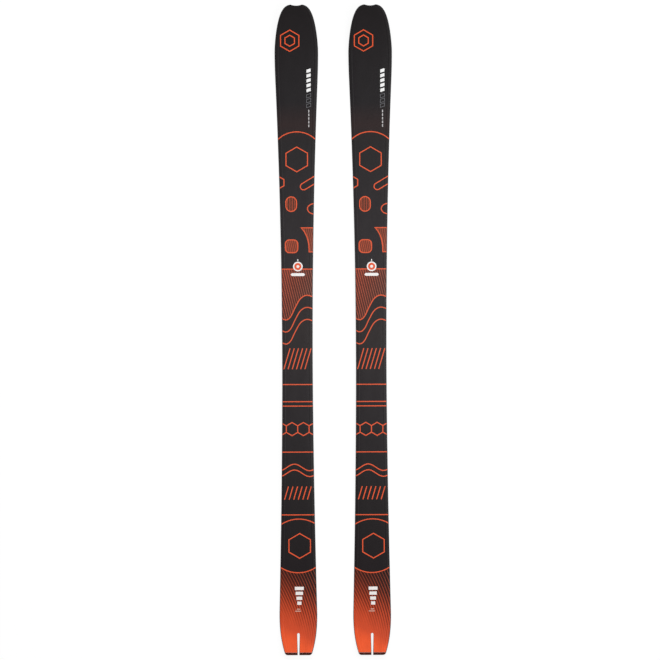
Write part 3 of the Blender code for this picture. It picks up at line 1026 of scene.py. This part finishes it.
def open_lines():
    """Lines with two ends, most of which run off the sheet."""
    return [
        arc(0, 1359, 74, 20, 160),
        across_sheet(FIELD_FRONT),
        *[field_lower_edge(back) for back in (0, 33, 66)],
        *[across_sheet(s) for s in (741, 682, 694, 556)],
        *[wave(s) for s in (498, 514)],
        across_sheet(384),
        *slanted_lines(783, 840, 11.5, 0.3),
        *slanted_lines(426, 462, 12.5, 0.3),
        arc(2, 286, ARC_RADIUS, 45, 135),
        tail_arc(),
    ]


def slanted_blocks(front, count):
    """A column of plain blocks, each behind the one before it."""
    blocks = []
    for i in range(count):
        s = front - BLOCK_PITCH * i
        blocks.append([(27.6, s), (38.9, s + 3.6), (38.9, s + 12.4), (27.6, s + 8.8)])
    return blocks


def white_marks():
    """Five blocks, a ribbon bar, four bars at the tail that taper, and a round badge."""
    shapes = slanted_blocks(1594, 5)
    shapes.append([(-18, 1042), (-14, 1038), (18, 1038), (22, 1042), (18, 1046), (-14, 1046)])
    for i in range(4):
        inset = 2.2 * i
        back = 13.5 * i
        shapes.append(rectangle(-9.5 + inset, 15 - inset, 178 - back, 187 - back))
    shapes += stroke(circle(*BADGE_PLACE, 11.5), 3.4, True)
    return shapes + [circle(*BADGE_PLACE, 4), rectangle(0.8, 3.2, 1079, 1084)]


def pale_marks():
    """A row of dashes along the right side and two short bars near the tail."""
    dashes = [rectangle(32, 34.8, 1446 + 10 * i, 1453 + 10 * i) for i in range(5)]
    return dashes + [rectangle(-9, 7, 119, 121.5), rectangle(-4, 5, 124.5, 127)]


def grey_marks():
    """Three outlined blocks behind the white ones."""
    lines = []
    for block in slanted_blocks(1525.5, 3):
        lines += stroke(block, MARK_LINE_WIDTH, True)
    return lines


def stripe_pitch(s):
    return STRIPE_PITCH + STRIPE_PITCH_GAIN * s / STRIPES_LENGTH


def stripe_middle(number, s):
    """Where a tail stripe's centre lies: evenly spread, closer at the tail, bent to the left."""
    return STRIPES_START - number * stripe_pitch(s) - STRIPE_BEND * s**2


def tail_stripes():
    """Curved stripes that widen from the arc towards the tail, most of all on the left."""
    pieces = []
    for number in STRIPE_NUMBERS:
        sides = []
        for s in STRIPE_STATIONS:
            middle = stripe_middle(number, s)
            share = 0.20 + 0.44 * smooth_step((235 - s) / 170)
            share += 0.25 * smooth_step((130 - s) / 110) * smooth_step((10 - middle) / 55)
            half = share * stripe_pitch(s) / 2
            sides.append(((middle - half, s), (middle + half, s)))
        pieces += [[a[0], a[1], b[1], b[0]] for a, b in zip(sides, sides[1:])]
    return pieces


def tail_region():
    """Everything behind the arc across the tail."""
    return tail_arc() + [(80, 240), (80, -20), (-80, -20), (-80, 240)]


def field_region():
    """The hatched field between its wave and the straight line in front of it."""
    return field_lower_edge() + across_sheet(FIELD_FRONT)[::-1]


def print_layers(outline):
    """Each print as (name, shapes, regions, height, material)."""
    lines = []
    for path in closed_lines():
        lines += stroke(path, closed=True)
    for path in open_lines():
        lines += stroke(path)
    lines.append(circle(*BADGE_PLACE, 10))
    windows = [WINDOW_UPPER, sail(), WINDOW_LOWER]
    field = field_region()
    field_hatch = hatch(-SHEET_SIDE, SHEET_SIDE, 900, FIELD_FRONT, 6.4, 1.5, 0.25)
    tail = tail_region()
    layers = [
        ("window_panels", windows, [outline], PANEL_HEIGHT, "window_panel"),
        ("field_panel", [field], [outline], PANEL_HEIGHT, "field_panel"),
        ("field_hatch", field_hatch, [outline, field], HATCH_HEIGHT, "field_hatch"),
        ("tail_panel", [tail], [outline], PANEL_HEIGHT, "tail_panel"),
        ("tail_stripes", tail_stripes(), [outline, tail], HATCH_HEIGHT, "tail_stripes"),
        ("outlines", lines, [outline], LINE_HEIGHT, "orange"),
        ("white_marks", white_marks(), [outline], MARK_HEIGHT, "white"),
        ("grey_marks", grey_marks(), [outline], MARK_HEIGHT, "grey"),
        ("pale_marks", pale_marks(), [outline], MARK_HEIGHT, "pale"),
    ]
    window_hatch = (
        ("upper_window_hatch", hatch(-30, -1, 1215, 1255, 4.6, 1.1), WINDOW_UPPER),
        ("lower_window_hatch", hatch(-32, 2, 1102, 1137, 5.2, 1.2, 0.2), WINDOW_LOWER),
        ("sail_hatch", hatch(10, 60, 1104, 1170, 5.6, 1.2, 0.2), sail()),
    )
    for name, shapes, region in window_hatch:
        layers.append((name, shapes, [outline, region], HATCH_HEIGHT, "field_hatch"))
    return layers


def build_prints(side):
    for name, shapes, regions, height, material in print_layers(sheet_outline()):
        mesh = skin_mesh(f"{side}_print_{name}", shapes, regions, height)
        add_piece(mesh.name, mesh, side, material)


# ---------------------------------------------------------------- the pieces of one ski

def add_layer(side, name, mesh, material, replaced):
    piece = add_piece(f"{side}_ski_{name}", mesh, side, material)
    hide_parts(*[f"{side}_{node}" for node in replaced])


def step_behind(s):
    """The two stations between which a section changes, just behind this one."""
    return (s - 2 * GAP, s - GAP)


def step_ahead(s):
    return (s + GAP, s + 2 * GAP)


def build_whole_layers(side):
    """The pieces that go from side to side."""
    notch = notch_outline()
    slot = slot_outline()
    sheet = loft("topsheet", stations(LAYERS_REAR, SKI_LENGTH), topsheet_section)
    sheet = cut_mesh(sheet, [notch, slot])
    add_layer(side, "topsheet", sheet, "topsheet", ["topsheet"])
    edge_steps = step_behind(EDGE_REAR) + step_ahead(EDGE_FRONT)
    base = loft("base", stations(LAYERS_REAR, SKI_LENGTH, edge_steps), base_section)
    base = cut_mesh(base, [notch, slot])
    lengths = [f"base_{part}" for part in ("tail", "rear", "front", "tip")]
    add_layer(side, "base", base, "base", lengths)
    tail_along = stations(LAYERS_REAR, REAR_CONTACT, step_behind(EDGE_REAR))
    tail = cut_mesh(loft("tail_filler", tail_along, filler_section), [slot])
    add_layer(side, "tail_filler", tail, "filler", ["tail_filler"])
    tip_steps = step_ahead(EDGE_FRONT) + step_ahead(LAMINATE_FRONT)
    tip_along = stations(FRONT_CONTACT, SKI_LENGTH, tip_steps)
    tip = cut_mesh(loft("tip_filler", tip_along, filler_section), [notch])
    add_layer(side, "tip_filler", tip, "filler", ["tip_filler"])


def build_side_pieces(side, place, hand):
    """The edge, sidewall and half of the tail cap on one side of a ski."""
    halves = ("rear", "front")
    edge = loft("edge", stations(EDGE_REAR, EDGE_FRONT), lambda s: edge_section(s, hand))
    replaced = [f"edge_{half}_{place}" for half in halves]
    add_layer(side, f"edge_{place}", edge, "steel", replaced)
    wall_along = stations(REAR_CONTACT + GAP, FRONT_CONTACT - GAP)
    wall = loft("sidewall", wall_along, lambda s: sidewall_section(s, hand))
    replaced = [f"sidewall_{half}_{place}" for half in halves]
    add_layer(side, f"sidewall_{place}", wall, "sidewall", replaced)
    turns = [math.pi / 2 * i / CAP_CORNER_STEPS for i in range(CAP_CORNER_STEPS + 1)]
    cap_along = [TAIL_CORNER_RADIUS * (1 - math.cos(turn)) for turn in turns] + [CAP_DEPTH]
    cap = loft("tail_cap", cap_along, lambda s: cap_section(s, hand))
    add_layer(side, f"tail_cap_{place}", cap, "tail_cap", [f"tail_cap_{place}"])


INNER_MATERIALS = {
    "rubber": "rubber", "lower_laminate": "laminate", "upper_laminate": "laminate",
    "core_centre": "core_centre", "core_stringer": "core_stringer", "binding_plate": "plate",
}


def dress_inner_nodes():
    """The layers inside keep their solids and get their own materials."""
    for name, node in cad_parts.items():
        layer = name.split("_", 1)[1]
        for kind, material in INNER_MATERIALS.items():
            if layer.startswith(kind):
                node.data.materials.clear()
                node.data.materials.append(MATERIALS[material])


# ---------------------------------------------------------------- stage, light and camera

PAIR_CENTRE = (cad_box[0] + cad_box[1]) / 2
WHITE = (1.0, 1.0, 1.0, 1.0)
FLOOR_HALF_SIZE = 12.0
FLOOR_GLOW = 0.86
FLOOR_HEIGHT = -0.0005
WORLD_STRENGTH = 0.55
SOFT_LIGHTS = (  # name, place, size in metres and power in watts
    ("key_right", (2.1, 0.0, 3.0), (1.2, 4.0), 42.0),
    ("fill_ahead", (0.0, 2.4, 3.4), (3.0, 1.2), 50.0),
)
VIEW_WIDTH = 1.808
LENS = 600.0
SENSOR = 36.0
FARTHEST_SEEN = 200.0
CAMERA_ROLL = math.radians(-0.21)
FRAME_SHIFT = -0.0116  # the view's centre lies this far left of the pair's


def build_stage():
    """A plain white light table, so that the skis cast next to no shadow."""
    shape = bmesh.new()
    bmesh.ops.create_grid(shape, x_segments=8, y_segments=8, size=FLOOR_HALF_SIZE)
    mesh = finish_mesh(shape, "floor")
    surface = Surface("pale_floor", roughness=0.9, specular=0.1)
    cloud = surface.noise((2.0, 2.0, 2.0), 2.0)
    surface.colour(surface.ramp(cloud, ((0.0, "707070"), (1.0, "747474"))))
    surface.shader.inputs["Emission Color"].default_value = WHITE
    surface.shader.inputs["Emission Strength"].default_value = FLOOR_GLOW
    mesh.materials.append(surface.material)
    floor = add_object("floor", mesh)
    floor.location.z = FLOOR_HEIGHT


def soft_light(name, place, size, power):
    """A rectangular soft box that points at the middle of the pair."""
    data = bpy.data.lights.new(name, "AREA")
    data.shape = "RECTANGLE"
    data.size, data.size_y = size
    data.energy = power
    light = add_object(name, data)
    light.location = place
    light.rotation_mode = "QUATERNION"
    light.rotation_quaternion = (PAIR_CENTRE - Vector(place)).to_track_quat("-Z", "Y")


def build_light():
    world = bpy.data.worlds.new("studio")
    world.use_nodes = True
    background = world.node_tree.nodes["Background"]
    background.inputs["Color"].default_value = WHITE
    background.inputs["Strength"].default_value = WORLD_STRENGTH
    bpy.context.scene.world = world
    for light in SOFT_LIGHTS:
        soft_light(*light)
    bpy.context.scene.view_settings.view_transform = "Standard"


def build_camera():
    """Straight above the pair and far away, as the photograph shows next to no perspective."""
    data = bpy.data.cameras.new("camera")
    data.lens = LENS
    data.sensor_width = SENSOR
    data.clip_end = FARTHEST_SEEN
    camera = add_object("camera", data)
    camera.location = (PAIR_CENTRE.x + FRAME_SHIFT, PAIR_CENTRE.y, VIEW_WIDTH * LENS / SENSOR)
    camera.rotation_euler = (0.0, 0.0, CAMERA_ROLL)
    bpy.context.scene.camera = camera


for ski_side, outward in (("left", -1), ("right", 1)):
    build_whole_layers(ski_side)
    build_side_pieces(ski_side, "outer", outward)
    build_side_pieces(ski_side, "inner", -outward)
    build_prints(ski_side)
dress_inner_nodes()
build_stage()
build_light()
build_camera()
